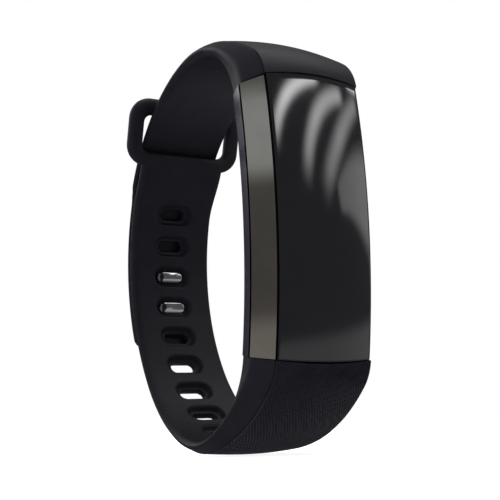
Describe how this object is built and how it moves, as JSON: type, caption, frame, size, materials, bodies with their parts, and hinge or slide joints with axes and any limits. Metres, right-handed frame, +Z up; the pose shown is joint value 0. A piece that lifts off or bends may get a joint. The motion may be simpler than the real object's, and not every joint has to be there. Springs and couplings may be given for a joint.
{
  "type": "fitness tracker band",
  "caption": "Slim wrist tracker: a bowed glass display module in a metal-trimmed case, held by two soft straps that close with a ring and chromed studs in slots.",
  "frame": {"origin": "centre of the wrist opening, level with the middle of the display", "axes": "+X along the wrist (the band's width), +Y from the display to the clasp, +Z up along the display"},
  "size_m": [0.0242, 0.0572, 0.0719],
  "materials": {
    "cover_glass": "gloss black cover glass with a printed back",
    "seal_rubber": "matt black sealing strip",
    "trim_metal": "satin gunmetal anodised strip",
    "housing_plastic": "semi-gloss dark plastic",
    "display_panel": "display that is switched off",
    "contact_gold": "gold flash",
    "flex_film": "amber polyimide",
    "board": "solder mask",
    "shield_steel": "thin stamped steel",
    "chip": "moulded package",
    "ceramic": "pale ceramic and moulding",
    "battery_foil": "foil pouch",
    "led_lens": "clear resin over a green emitter",
    "sensor_glass": "dark filter glass",
    "cover_plastic": "fine-textured dark plastic",
    "window_plastic": "polished dark window",
    "magnet": "plated magnet",
    "weight_metal": "sintered heavy metal",
    "screw_steel": "darkened steel",
    "strap_rubber": "matt elastomer with a finely ribbed outer field",
    "stud_chrome": "polished stud"
  },
  "bodies": {
    "band": {"back_cover": "cover_plastic", "battery": "battery_foil", "battery_tabs": "contact_gold", "board_connector": "ceramic", "case_screws": "screw_steel", "charging_contacts": "contact_gold", "cover_seal": "seal_rubber", "display_flex": "flex_film", "display_glass": "cover_glass", "display_panel": "display_panel", "display_seal": "seal_rubber", "hole_strap": "strap_rubber", "housing": "housing_plastic", "light_barrier": "cover_plastic", "main_board": "board", "memory_chip": "chip", "motion_sensor": "chip", "motor_base": "shield_steel", "motor_can": "shield_steel", "motor_magnet": "magnet", "motor_shaft": "shield_steel", "photodiode": "sensor_glass", "processor": "chip", "radio_antenna": "ceramic", "sensor_board": "board", "sensor_leds": "led_lens", "sensor_window": "window_plastic", "shield_can": "shield_steel", "side_trim_left": "trim_metal", "side_trim_right": "trim_metal", "strap_insert_lower": "shield_steel", "strap_insert_upper": "shield_steel", "stud_strap": "strap_rubber", "touch_electrode": "contact_gold"},
    "tail": {"strap_tail": "strap_rubber", "rivet_plate": "shield_steel", "clasp_studs": "stud_chrome"},
    "rotor": {"motor_rotor": "weight_metal"}
  },
  "joints": [
    {"name": "tail_peel", "type": "hinge", "parent": "band", "child": "tail", "pos_m": [0, 0.02401, 0.01373], "axis": [1, 0, 0], "range_deg": [0, 55], "stiffness_Nm_per_rad": 0.015},
    {"name": "motor_spin", "type": "hinge", "parent": "band", "child": "rotor", "pos_m": [0, -0.0223, -0.0142], "axis": [0, 1, 0], "continuous": true}
  ]
}
